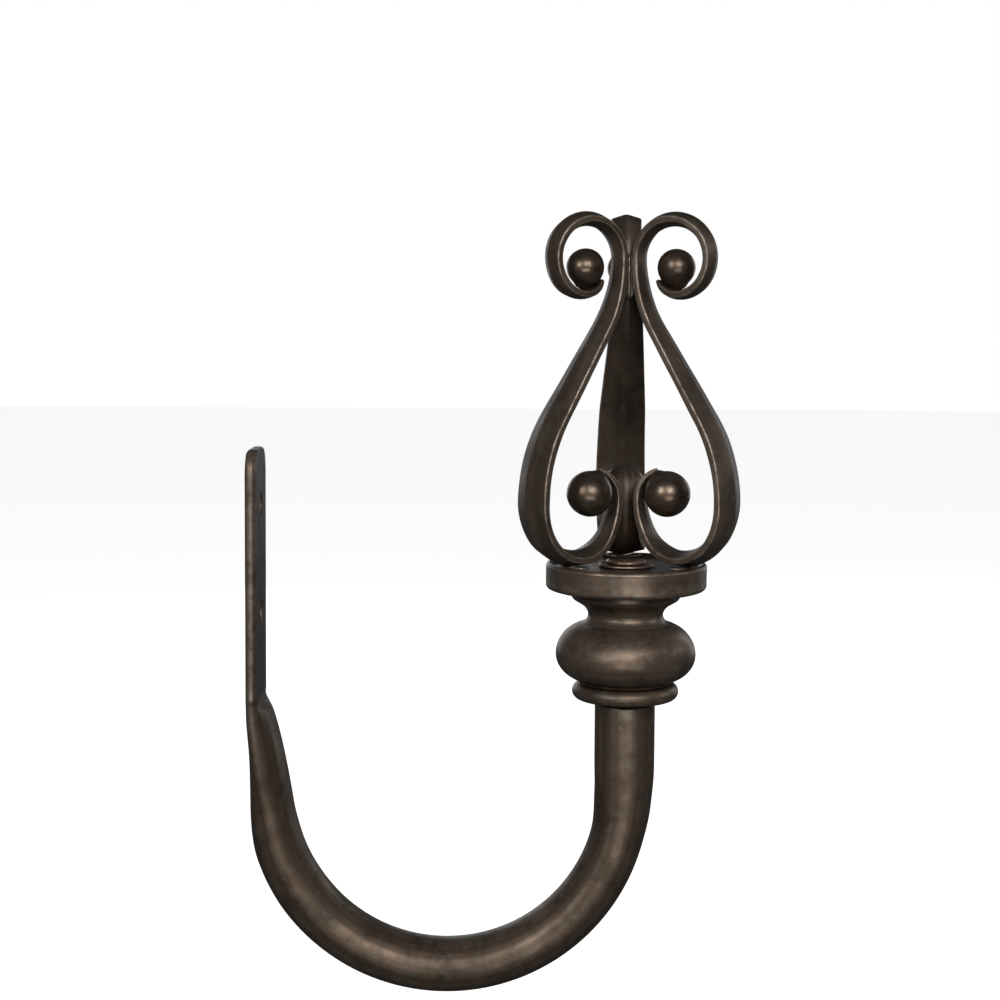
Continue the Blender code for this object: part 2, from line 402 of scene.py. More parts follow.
def grain(wiring: Wiring, given: Sockets) -> Sockets:
    """Fine marks drawn out along one way of the surface, as a height and a slow sheen.

    Args:
        wiring: The open group.
        given: Its input sockets by name.

    Returns:
        The group's outputs by name.
    """
    density = wiring.node("CombineXYZ", X=given["Along"], Y=given["Around"], Z=given["Around"])
    stretch = wiring.node("VectorMath")
    stretch.operation = "MULTIPLY"
    wiring.feed(stretch.inputs[0], given["Flow"])
    wiring.feed(stretch.inputs[1], density.outputs["Vector"])
    place = stretch.outputs["Vector"]
    return {"Height": wiring.noise(place, 1.0, 3.0), "Sheen": wiring.noise(place, 0.22, 2.0)}


def rubbed(wiring: Wiring, given: Sockets) -> Sockets:
    """Paler metal where a piece is rubbed, broken up by small noise.

    Args:
        wiring: The open group.
        given: Its input sockets by name.

    Returns:
        The group's outputs by name.
    """
    patchy = wiring.share(wiring.noise(given["Vector"], 420.0, 4.0), 0.32, 0.62)
    masked = wiring.maths("MULTIPLY", patchy, given["Wear"])
    amount = wiring.maths("MULTIPLY", masked, given["Strength"])
    return {"Color": wiring.blend(amount, given["Color"], given["Bare"]), "Amount": amount}


def pits(wiring: Wiring, given: Sockets) -> Sockets:
    """Small pits and specks of the forge, as a height and a mask.

    Args:
        wiring: The open group.
        given: Its input sockets by name.

    Returns:
        The group's outputs by name.
    """
    cells = wiring.node("TexVoronoi", Vector=given["Vector"], Scale=given["Scale"], Randomness=1.0)
    bumps = wiring.noise(given["Vector"], wiring.maths("MULTIPLY", given["Scale"], 0.45), 4.0)
    pit = wiring.share(cells.outputs["Distance"], 0.16, 0.02)
    speck = wiring.maths("MULTIPLY", pit, wiring.share(bumps, 0.56, 0.66))
    return {"Height": wiring.maths("SUBTRACT", bumps, speck), "Speck": speck}


PATINA = Effect(
    name="patina_cloud",
    inputs={
        "Vector": Kind.PLACE,
        "Scale": Kind.NUMBER,
        "Dark": Kind.COLOUR,
        "Middle": Kind.COLOUR,
        "Cool": Kind.COLOUR,
    },
    outputs={"Color": Kind.COLOUR, "Cloud": Kind.NUMBER},
    wire=patina,
)
GRAIN = Effect(
    name="drawn_grain",
    inputs={"Flow": Kind.PLACE, "Along": Kind.NUMBER, "Around": Kind.NUMBER},
    outputs={"Height": Kind.NUMBER, "Sheen": Kind.NUMBER},
    wire=grain,
)
RUBBED = Effect(
    name="rubbed_edge",
    inputs={
        "Vector": Kind.PLACE,
        "Wear": Kind.NUMBER,
        "Strength": Kind.NUMBER,
        "Color": Kind.COLOUR,
        "Bare": Kind.COLOUR,
    },
    outputs={"Color": Kind.COLOUR, "Amount": Kind.NUMBER},
    wire=rubbed,
)
PITS = Effect(
    name="forge_pits",
    inputs={"Vector": Kind.PLACE, "Scale": Kind.NUMBER},
    outputs={"Height": Kind.NUMBER, "Speck": Kind.NUMBER},
    wire=pits,
)


@dataclass(frozen=True)
class MetalFinish:
    """A mottled metal finish. Colours are linear, and depths are in metres."""

    name: str
    dark: Colour
    middle: Colour
    cool: Colour
    bare: Colour
    grain: Grain
    roughness: float = 0.40
    metallic: float = 0.68
    cloud_scale: float = 125.0
    cloud_roughness: float = 0.10
    grain_depth: float = 0.000012
    pit_scale: float = 520.0
    pit_depth: float = 0.00006
    wear: float = 0.6
    # Share of painted shade at the outlines, where the surface turns away from the eye.
    painted_rim_shade: float = 0.85
    streak: float = 0.62
    # Colour of the forge specks, and the colour that the painted shade along the outlines darkens to.
    speck: Colour = (0.02, 0.016, 0.012)

    def build(self) -> bpy.types.Material:
        """Make the material.

        Returns:
            A material whose colour, roughness and normal come from the shared effects, with painted
            shade darkening the colour along the outlines.
        """
        made = bpy.data.materials.new(self.name)
        made.use_nodes = True
        wiring = Wiring(made.node_tree)
        shader = made.node_tree.nodes["Principled BSDF"]
        shader.inputs["Metallic"].default_value = self.metallic
        spot = wiring.node("TexCoord").outputs["Object"]
        tints = {"Dark": self.dark, "Middle": self.middle, "Cool": self.cool}
        clouds = PATINA.place(wiring, Vector=spot, Scale=self.cloud_scale, **tints)
        along, around = self.grain.value
        marks = GRAIN.place(wiring, Flow=wiring.attribute("flow", "Vector"), Along=along, Around=around)
        holes = PITS.place(wiring, Vector=spot, Scale=self.pit_scale)
        sheen = wiring.share(marks["Sheen"], 0.42, 0.62, self.streak)
        streaked = wiring.blend(sheen, clouds["Color"], self.dark)
        touched = wiring.attribute("wear", "Fac")
        tints = {"Color": streaked, "Bare": self.bare}
        worn = RUBBED.place(wiring, Vector=spot, Wear=touched, Strength=self.wear, **tints)
        specked = wiring.blend(holes["Speck"], worn["Color"], self.speck)
        # Painted shade: the colour darkens towards the speck colour where the surface turns away from
        # the eye, a dark rim along every outline.
        facing = wiring.node("LayerWeight", Blend=0.5).outputs["Facing"]
        edge = wiring.share(facing, 0.42, 0.98, self.painted_rim_shade)
        wiring.feed(shader.inputs["Base Color"], wiring.blend(edge, specked, self.speck))
        rough: Feed = self.roughness
        for mask, weight in (
            (clouds["Cloud"], -self.cloud_roughness),
            (marks["Height"], 0.10),
            (worn["Amount"], -0.10),
            (holes["Speck"], 0.25),
        ):
            rough = wiring.maths("MULTIPLY_ADD", mask, weight, rough)
        wiring.feed(shader.inputs["Roughness"], rough)
        pitted = wiring.bump(holes["Height"], self.pit_depth)
        marked = wiring.bump(marks["Height"], self.grain_depth, Normal=pitted)
        wiring.feed(shader.inputs["Normal"], marked)
        return made


TUBE_BRONZE = MetalFinish(
    name="tube_bronze",
    dark=(0.066, 0.047, 0.034),
    middle=(0.178, 0.128, 0.094),
    cool=(0.125, 0.110, 0.084),
    bare=(0.36, 0.31, 0.26),
    grain=Grain.DRAWN,
    roughness=0.47,
    grain_depth=0.00004,
)
TURNED_BRONZE = MetalFinish(
    name="turned_bronze",
    dark=(0.070, 0.049, 0.036),
    middle=(0.199, 0.145, 0.105),
    cool=(0.136, 0.117, 0.097),
    bare=(0.42, 0.36, 0.30),
    grain=Grain.TURNED,
    roughness=0.43,
    streak=0.34,
    grain_depth=0.00001,
)
FORGED_BRONZE = MetalFinish(
    name="forged_bronze",
    dark=(0.060, 0.043, 0.032),
    middle=(0.172, 0.125, 0.094),
    cool=(0.113, 0.105, 0.084),
    bare=(0.40, 0.34, 0.29),
    grain=Grain.FORGED,
    roughness=0.48,
    cloud_scale=95.0,
    grain_depth=0.00002,
    pit_depth=0.00009,
)
BALL_BRONZE = MetalFinish(
    name="ball_bronze",
    dark=(0.063, 0.044, 0.032),
    middle=(0.188, 0.133, 0.098),
    cool=(0.129, 0.111, 0.093),
    bare=(0.40, 0.34, 0.28),
    grain=Grain.FORGED,
    roughness=0.34,
    metallic=0.85,
    cloud_scale=160.0,
    grain_depth=0.00001,
)
WELD_BRONZE = MetalFinish(
    name="weld_bronze",
    dark=(0.150, 0.120, 0.095),
    middle=(0.290, 0.230, 0.180),
    cool=(0.200, 0.180, 0.160),
    bare=(0.50, 0.42, 0.33),
    grain=Grain.FORGED,
    roughness=0.36,
    cloud_scale=300.0,
    pit_scale=1500.0,
    pit_depth=0.00012,
)
BOLT_COPPER = MetalFinish(
    name="bolt_copper",
    dark=(0.200, 0.130, 0.095),
    middle=(0.330, 0.220, 0.165),
    cool=(0.260, 0.200, 0.165),
    bare=(0.52, 0.38, 0.29),
    grain=Grain.TURNED,
    roughness=0.32,
)
PLUG_BRASS = MetalFinish(
    name="plug_brass",
    dark=(0.42, 0.27, 0.10),
    middle=(0.62, 0.43, 0.18),
    cool=(0.50, 0.36, 0.17),
    bare=(0.80, 0.62, 0.32),
    grain=Grain.TURNED,
    roughness=0.30,
    cloud_scale=200.0,
    speck=(0.20, 0.12, 0.05),
)


# ---------------------------------------------------------------- sub-assemblies


@dataclass
class Assembly:
    """Pieces that ride on one body.

    reach is the finial axis's X, at the middle of the bolt, and mouth is the height of the tube's
    open end, which stands a gap above the plug.
    """

    body: str
    gap: float = 0.3
    reach: float = field(init=False)
    mouth: float = field(init=False)

    def __post_init__(self) -> None:
        """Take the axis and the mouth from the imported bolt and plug."""
        low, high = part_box("finial_bolt")
        self.reach = round((low.x + high.x) / 2 / MM, 2)
        self.mouth = round(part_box("thread_plug")[1].z / MM + self.gap, 2)

    def extent(self, node: str) -> tuple[float, float, float]:
        """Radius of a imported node, and its lowest and highest height above the mouth."""
        low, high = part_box(node)
        heights = (round(corner.z / MM - self.mouth, 2) for corner in (low, high))
        return round((high.x - low.x) / 2 / MM, 2), *heights

    def dress(self, obj: bpy.types.Object, node: str, finish: MetalFinish, slot: str) -> None:
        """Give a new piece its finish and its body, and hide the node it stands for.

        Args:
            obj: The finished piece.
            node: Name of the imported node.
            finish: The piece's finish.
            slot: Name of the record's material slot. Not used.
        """
        obj.data.materials.clear()
        obj.data.materials.append(bpy.data.materials.get(finish.name) or finish.build())
        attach(obj, self.body)
        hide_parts(node)
        LOG.info("%s: %d faces, %s", node, len(obj.data.polygons), finish.name)


@dataclass
class Hook(Assembly):
    """The tube: pressed flat at the wall, bent to a U and open at its mouth."""

    body: str = "hook"
    tube: float = 16.0
    wall: float = 1.5
    sides: int = 84
    bend_radius: float = 47.0
    bend_x: float = 52.3
    bend_z: float = -62.3
    bend_start: float = 195.0
    bend_entry: float = 13.2
    bend_thickness: float = 14.1
    bend_swell: float = 20.6
    arm_flat: float = 0.6
    strap_thickness: float = 3.0
    strap_top: float = 29.3
    strap_corner: float = 6.7
    strap_tip: float = 10.6
    strap_round: float = 1.4
    strap_bottom: float = -36.65
    press_depth: float = 33.0
    press_rise: float = 1.34
    press_power: float = 0.55
    bore_end: float = 8.5
    hole: float = 5.6
    hole_edge: float = 0.35
    hole_pitch: float = 28.7

    def pressed_width(self, thickness: Array) -> Array:
        """Width of the pressed tube, whose outline stays as long as the round tube's."""
        return thickness + math.pi / 2 * (self.tube - thickness)

    def stations(self) -> Array:
        """Stations from the strap's top to the tube's mouth.

        Returns:
            Rows of x, z, heading in radians, thickness, width, share of the D, share of the
            ellipse.
        """
        lower = np.concatenate([self.press(), self.bend(), self.arm()])
        return np.concatenate([self.strap(), softened(lower, 4)])

    def strap(self) -> Array:
        """Stations of the flat strap, whose end is drawn in by the root of 1 - u^2.

        Returns:
            Rows as stations() gives them.
        """
        full = self.pressed_width(np.array(self.strap_thickness))
        shoulder = self.strap_top - self.strap_round
        rounding = self.strap_round * (1 - np.cos(np.linspace(0.0, math.pi / 2, 8)))
        straight = np.linspace(shoulder, self.strap_bottom, 74)
        z = np.concatenate([self.strap_top - rounding[:-1], straight])
        corner = np.clip((z - self.strap_top + self.strap_corner) / self.strap_corner, 0.0, 1.0)
        width = self.strap_tip + (full - self.strap_tip) * np.sqrt(1.0 - corner**2)
        end = np.clip((z - shoulder) / self.strap_round, 0.0, 1.0)
        thickness = self.strap_thickness * (0.45 + 0.55 * np.sqrt(1.0 - end**2))
        flat = np.full_like(z, self.strap_thickness / 2)
        nothing = np.zeros_like(z)
        return np.stack([flat, z, nothing - math.pi / 2, thickness, width, nothing, nothing], axis=1)

    def press(self) -> Array:
        """Stations below the strap, where the thickness grows as a power of the depth.

        Returns:
            Rows as stations() gives them.
        """
        depth = self.press_depth * np.linspace(0.0, 1.0, 46)[1:] ** 1.5
        thickness = self.strap_thickness + self.press_rise * depth**self.press_power
        d_share = np.clip(depth / 2.8, 0.0, 1.0)
        e_share = np.clip((depth - 5.0) / (self.press_depth - 5.0), 0.0, 1.0)
        width = self.pressed_width(thickness)
        down = np.full_like(depth, -math.pi / 2)
        z = self.strap_bottom - depth
        return np.stack([thickness / 2, z, down, thickness, width, d_share, e_share], axis=1)

    def bend(self) -> Array:
        """Stations of the bend, nearly even in thickness until it opens to the arm.

        Returns:
            Rows as stations() gives them.
        """
        degrees = np.linspace(self.bend_start, 360.0, 150)
        angle = np.radians(degrees)
        swelling = np.clip((degrees - self.bend_start) / self.bend_swell, 0.0, 1.0)
        thickness = self.bend_entry + (self.bend_thickness - self.bend_entry) * swelling
        thickness += (self.tube - self.arm_flat - thickness) * smooth_step(344.0, 360.0, degrees)
        x = self.bend_x + self.bend_radius * np.cos(angle)
        z = self.bend_z + self.bend_radius * np.sin(angle)
        one = np.ones_like(angle)
        heading = angle + math.pi / 2 - math.tau
        return np.stack([x, z, heading, thickness, self.pressed_width(thickness), one, one], axis=1)

    def arm(self) -> Array:
        """Stations of the upright arm, which becomes fully round below its mouth.

        Returns:
            Rows as stations() gives them.
        """
        z = np.linspace(self.bend_z + 1.2, self.mouth - 0.5, 22)
        rounded = smooth_step(self.bend_z - 2.0, self.bend_z + 8.0, z)
        thickness = self.tube - self.arm_flat * (1.0 - rounded)
        one = np.ones_like(z)
        x, up = one * self.reach, one * math.pi / 2
        return np.stack([x, z, up, thickness, self.pressed_width(thickness), one, one], axis=1)

    def section(self, stations: Array, inset: Array) -> Array:
        """Rings of points across the stations.

        With a turn a round the tube, the strap's ring is a stadium, the D's outer half is an
        ellipse on a flat back, and the ellipse is (T/2 cos a, W/2 sin a). The shares mix them.

        Args:
            stations: Rows as stations() gives them.
            inset: How far each ring is drawn in.

        Returns:
            Points as (rings, sides, 3).
        """
        x, z, heading, thickness, width, d_share, e_share = (column[:, None] for column in stations.T)
        thickness = thickness - 2 * inset[:, None]
        width = width - 2 * inset[:, None]
        turn = full_turn(self.sides)
        c, s = np.cos(turn), np.sin(turn)
        edge = np.minimum(self.strap_thickness, thickness) / 2
        tilt = np.degrees(np.arcsin(np.clip(np.abs(s), 0.0, 1.0)))
        fold = np.radians(90.0 * np.clip((tilt - 60.0) / 30.0, 0.0, 1.0))
        on_face = (width / 2 - edge) * np.abs(s) / math.sin(math.radians(60.0))
        across = np.where(tilt <= 60.0, edge, edge * np.cos(fold))
        aside = np.where(tilt <= 60.0, on_face, width / 2 - edge + edge * np.sin(fold))
        stadium = np.stack([edge + np.copysign(across, c), np.copysign(aside, s)])
        swell_out = np.stack([edge + (thickness - edge) * c, width / 2 * s])
        swell = np.where(c > 0.0, swell_out, stadium)
        ellipse = np.stack([thickness / 2 * (1.0 + c), width / 2 * s])
        ring = stadium + (swell - stadium) * d_share
        ring = ring + (ellipse - ring) * e_share
        out, aside = ring[0] - thickness / 2, ring[1]
        side_x, side_z = -np.sin(heading), np.cos(heading)
        return np.stack([x + side_x * out, aside + 0 * x, z + side_z * out], axis=-1)

    def build(self) -> None:
        """Build the tube with its bore, its mouth and its two screw holes, and dress it."""
        outer = self.stations()
        lip = np.repeat(outer[-1:], 7, axis=0)
        lip_depth = np.array([0.35, 0.2, 0.08, 0.0, 0.0, 0.08, 0.3])
        lip_inset = np.array([0.0, 0.06, 0.18, 0.38, 1.15, 1.4, 1.5])
        lip[:, 1] = self.mouth - lip_depth
        bore = outer[outer[:, 3] >= self.bore_end][::-3]
        stations = np.concatenate([outer, lip, bore])
        inset = np.concatenate([np.zeros(len(outer)), lip_inset, np.full(len(bore), self.wall)])
        rings = self.section(stations, inset)
        along = running(np.linalg.norm(np.diff(stations[:, :2], axis=0), axis=1))[:, None]
        turn, radius = full_turn(self.sides), self.tube / 2
        around = (radius * np.cos(turn), radius * np.sin(turn))
        flow = np.stack(np.broadcast_arrays(along, *around), axis=-1)
        fold = np.abs(np.sin(turn)) ** 14
        on_strap = 1.0 - smooth_step(0.0, 14.0, self.strap_bottom - stations[:, 1:2])
        on_arm = stations[:, 0:1] > self.reach - self.tube / 2
        on_lip = np.exp(-(((self.mouth - stations[:, 1:2]) / 0.5) ** 2)) * on_arm
        wear = np.clip(0.55 * fold * on_strap + on_lip, 0.0, 1.0)
        surface = Surface(closed_ends(rings), repeated_ends(flow), repeated_ends(wear), sharp_deg=50.0)
        tube = surface.to_object("tube_skin")
        self.dress(self.drilled(tube), "hook_tube", TUBE_BRONZE, "oil_rubbed_bronze")

    def drilled(self, tube: bpy.types.Object) -> bpy.types.Object:
        """Cut the two screw holes, with broken edges.

        Args:
            tube: The tube's object.

        Returns:
            The same object with the holes in its mesh.
        """
        half, radius, edge, beyond = self.strap_thickness / 2, self.hole / 2, self.hole_edge, 2.0
        inner = ((0.0, half + beyond), (radius + edge + beyond, half + beyond), (radius + edge, half))
        outline = np.array([(r, -h) for r, h in (*inner, (radius, half - edge))])
        outline = np.concatenate([outline, outline[::-1] * (1, -1)])
        turn = full_turn(48) + 0.031
        ring = outline[:, :1] * np.ones_like(turn)
        for number, side in enumerate((-1, 1)):
            middle = side * self.hole_pitch / 2
            x = half + outline[:, 1:] + 0 * turn
            points = np.stack([x, ring * np.cos(turn), middle + ring * np.sin(turn)], axis=-1)
            blank = Surface(points, np.zeros_like(points), np.zeros(points.shape[:2]))
            drill = blank.to_object(f"drill_{number}")
            cut = tube.modifiers.new(f"screw_hole_{number}", "BOOLEAN")
            cut.operation = "DIFFERENCE"
            cut.object = drill
            shape = tube.evaluated_get(bpy.context.evaluated_depsgraph_get())
            mesh = bpy.data.meshes.new_from_object(shape)
            tube.modifiers.clear()
            tube.data = mesh
            bpy.data.objects.remove(drill)
        tube.data.shade_smooth()
        tube.data.set_sharp_from_angle(angle=math.radians(50.0))
        return tube


@dataclass
class TurnedPiece(Assembly):
    """Pieces turned about the finial's axis. Heights are above the tube's mouth."""

    body: str = "finial"
    sides: int = 120
    bore: float = 3.4

    def turned(
        self, name: str, outline: Array, worn: float = 0.5, waviness: float = 0.0
    ) -> bpy.types.Object:
        """Turn an outline about the axis, with a slight waviness.

        Each outline point (r, h) goes to (reach + r' cos a, r' sin a, mouth + h), where r' is r
        less waviness times 1 - sin(3 a + h / 5) on the outer side.

        Args:
            name: Name of the new object.
            outline: Points as (radius, height, rounding) of a closed section.
            worn: How much the corners are rubbed.
            waviness: Depth of the waviness, in millimetres.

        Returns:
            The new object.
        """
        path, close = rounded_ring(outline[None, :, :2], outline[None, :, 2], 7)
        path, close = self.refined(path[0], close[0] * worn)
        turn = full_turn(self.sides)
        r, h = path[:, :1], path[:, 1:]
        outer = smooth_step(4.0, 9.0, r)
        r = r - waviness * outer * (1.0 - np.sin(3 * turn + h / 5.0))
        x, y = r * np.cos(turn), r * np.sin(turn)
        points = np.stack(np.broadcast_arrays(self.reach + x, y, self.mouth + h), axis=-1)
        along = running(np.linalg.norm(np.diff(path, axis=0), axis=1))[:, None]
        flow = np.stack(np.broadcast_arrays(along, x, y), axis=-1)
        wear = np.broadcast_to(close[:, None], x.shape)
        return Surface(points, flow, wear, wrap_rows=True).to_object(name)

    @staticmethod
    def refined(path: Array, close: Array) -> tuple[Array, Array]:
        """Resample a closed path in steps of at most 0.6 mm, and keep its own points.

        Args:
            path: Points as (count, 2).
            close: A value for each point.

        Returns:
            The finer path and its values.
        """
        most, least = 0.6, 0.02
        path, close = np.concatenate([path, path[:1]]), np.concatenate([close, close[:1]])
        step = np.linalg.norm(np.diff(path, axis=0), axis=1)
        keep = np.concatenate([[True], step > 1e-4])
        path, close = path[keep], close[keep]
        length = running(np.linalg.norm(np.diff(path, axis=0), axis=1))
        even = np.linspace(0.0, length[-1], int(length[-1] / most) + 2)
        marks = np.union1d(np.round(length, 6), np.round(even, 6))
        marks = marks[np.concatenate([[True], np.diff(marks) > least])]
        marks = marks[marks < length[-1] - least]
        fine = np.stack([np.interp(marks, length, path[:, k]) for k in (0, 1)], axis=1)
        return fine, np.interp(marks, length, close)


def elliptic_arc(centre: tuple, radii: tuple, start_deg: float, end_deg: float, count: int) -> Array:
    """Points (c + a cos t, d + b sin t, rounding) of an elliptical arc, ready for an outline."""
    t = np.radians(np.linspace(start_deg, end_deg, count))
    x, y = centre[0] + radii[0] * np.cos(t), centre[1] + radii[1] * np.sin(t)
    return np.stack([x, y, np.full(count, 9.0)], axis=1)


def rows_of(*points: tuple) -> Array:
    """Outline points (radius, height, rounding) as an array."""
    return np.array(points, dtype=float)


@dataclass
class Stack(TurnedPiece):
    """Ring, bulb, dish, washer and bolt of the finial.

    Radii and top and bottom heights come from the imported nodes. The belly and the neck are the
    bulb's widest height and its least radius, and the dish's floor lies rim_depth below its rim.
    """

    shank: float = 3.0
    bead: float = 1.9
    belly: float = 13.2
    neck: float = 9.85
    rim_depth: float = 1.1
    head: float = 1.2
    pitch: float = 1.0
    thread_depth: float = 0.28
    thread_top: float = 0.6

    def build(self) -> None:
        """Build and dress the turned pieces that ride with the finial."""
        slot = "oil_rubbed_bronze"
        self.dress(self.make_ring(), "bead_ring", TURNED_BRONZE, slot)
        self.dress(self.make_bulb(), "bulb", TURNED_BRONZE, slot)
        self.dress(self.make_dish(), "dish", TURNED_BRONZE, slot)
        radius, low, high = self.extent("bolt_washer")
        washer = rows_of(
            (self.bore, low, 0.05), (radius, low, 0.1), (radius, high, 0.25), (self.bore, high, 0.05)
        )
        self.dress(self.turned("washer_disc", washer, 0.6), "bolt_washer", BOLT_COPPER, slot)
        self.dress(self.make_bolt(), "finial_bolt", BOLT_COPPER, slot)

    def make_ring(self) -> bpy.types.Object:
        """The bead ring: a disc whose edge is a half round.

        Returns:
            The ring's object.
        """
        radius, low, high = self.extent("bead_ring")
        half = (high - low) / 2
        edge = elliptic_arc((radius - self.bead, (low + high) / 2), (self.bead, half), -90, 90, 15)
        bottom, top = rows_of((self.bore, low, 0.1)), rows_of((self.bore, high, 0.1))
        return self.turned("ring_bead", np.concatenate([bottom, edge, top]), 0.10, 0.03)

    def make_bulb(self) -> bpy.types.Object:
        """The bulb: a flattened ball, a waist and a small flared collar.

        Returns:
            The bulb's object.
        """
        radius, low, high = self.extent("bulb")
        under = elliptic_arc((self.neck, self.belly), (radius - self.neck, 7.2), -72, 0, 15)
        over = elliptic_arc((self.neck, self.belly), (radius - self.neck, 8.5), 5, 79, 16)
        collar = rows_of(
            (10.55, 22.3, 0.5),
            (10.05, 23.2, 0.6),
            (self.neck + 0.1, 24.1, 0.8),
            (10.4, 25.2, 0.7),
            (11.3, 26.2, 0.7),
            (12.8, 27.1, 0.7),
            (14.0, 27.8, 0.5),
            (14.5, 28.5, 0.4),
            (14.5, high, 0.15),
            (self.bore, high, 0.1),
        )
        bottom = rows_of((self.bore, low, 0.1), (12.4, low, 0.25))
        return self.turned("bulb_body", np.concatenate([bottom, under, over, collar]), 0.16, 0.05)

    def make_dish(self) -> bpy.types.Object:
        """The dish: an upright wall with a rounded foot, a soft rim and a sunk floor.

        Returns:
            The dish's object.
        """
        radius, low, high = self.extent("dish")
        floor = round(high - self.rim_depth, 2)
        foot = elliptic_arc((radius - 1.2, low + 1.4), (1.2, 1.2), -70, 0, 8)
        rim = rows_of(
            (radius, high - 0.7, 0.3),
            (radius - 0.25, high - 0.25, 0.3),
            (radius - 0.8, high, 0.4),
            (radius - 1.2, high, 0.3),
            (radius - 1.9, floor, 0.4),
            (self.bore, floor, 0.1),
        )
        start = rows_of((self.bore, low, 0.1), (radius - 1.7, low, 0.4))
        return self.turned("dish_body", np.concatenate([start, foot, rim]), 0.55, 0.05)

    def make_bolt(self) -> bpy.types.Object:
        """The bolt: a domed head on a shank with a right-hand thread.

        The shank's radius is less by thread_depth (1 - |2 f - 1|)^1.5, where f is the fraction of
        h / pitch - a / tau, so the groove climbs one pitch in each turn. Its end has a lead of
        0.8 mm, and the thread runs out about the tube's mouth.

        Returns:
            The bolt's object.
        """
        radius, foot, high = self.extent("finial_bolt")
        low, side = round(high - self.head, 2), 0.35
        height = np.concatenate([np.arange(foot, 1.0, 0.09), np.linspace(1.0, low, 24)])
        dome = np.linspace(0.0, math.pi / 2, 14)
        dome_h = low + side + (high - low - side) * np.sin(dome)
        shank = np.full(len(height), self.shank)
        r = np.concatenate([[0.0, 2.2], shank, [radius - 0.1], radius * np.cos(dome)])[:, None]
        h = np.concatenate([[foot, foot], height, [low], dome_h])[:, None]
        r[-1] = 0.0
        turn = full_turn(72)
        share = np.mod(h / self.pitch - turn / math.tau, 1.0)
        groove = self.thread_depth * (1.0 - np.abs(2.0 * share - 1.0)) ** 1.5
        led = smooth_step(foot, foot + 0.8, h)
        threaded = led * (1.0 - smooth_step(-self.thread_top, self.thread_top, h))
        on_shank = r > 2.5
        r = r - (groove * threaded + 0.6 * (1.0 - led)) * on_shank
        x, y = r * np.cos(turn), r * np.sin(turn)
        points = np.stack(np.broadcast_arrays(self.reach + x, y, self.mouth + h), axis=-1)
        flow = np.stack(np.broadcast_arrays(h, x, y), axis=-1)
        wear = np.where(h > low, 0.7, 0.3) * np.ones_like(x)
        return Surface(points, flow, wear).to_object("bolt_body")


@dataclass
class Seat(TurnedPiece):
    """The seat washer between the tube and the ring, which rises but doesn't turn."""

    body: str = "washer"

    def build(self) -> None:
        """Build and dress the washer."""
        radius, low, high = self.extent("seat_washer")
        outline = rows_of(
            (self.bore, low, 0.05), (radius, low, 0.2), (radius, high, 0.2), (self.bore, high, 0.05)
        )
        self.dress(self.turned("seat_disc", outline), "seat_washer", TURNED_BRONZE, "oil_rubbed_bronze")


@dataclass
class Plug(TurnedPiece):
    """The brass plug in the tube's mouth, with a chamfered bore and a broken outer edge."""

    body: str = "hook"
    bore: float = 3.05
    chamfer: float = 0.5
    edge: float = 0.3

    def build(self) -> None:
        """Build and dress the plug."""
        radius, low, high = self.extent("thread_plug")
        bore, chamfer = self.bore, self.chamfer
        outline = rows_of(
            (bore, low + chamfer, 0.1),
            (bore + 0.45, low, 0.1),
            (radius, low, 0.3),
            (radius, high - self.edge, 0.1),
            (radius - self.edge, high, 0.1),
            (bore + chamfer, high, 0.1),
            (bore, high - chamfer, 0.1),
        )
        self.dress(self.turned("plug_body", outline), "thread_plug", PLUG_BRASS, "plug_brass")


class Side(Enum):
    """The three bearings of the cage, in degrees about the finial's axis."""

    LEFT = 210.0
    RIGHT = 330.0
    BACK = 90.0


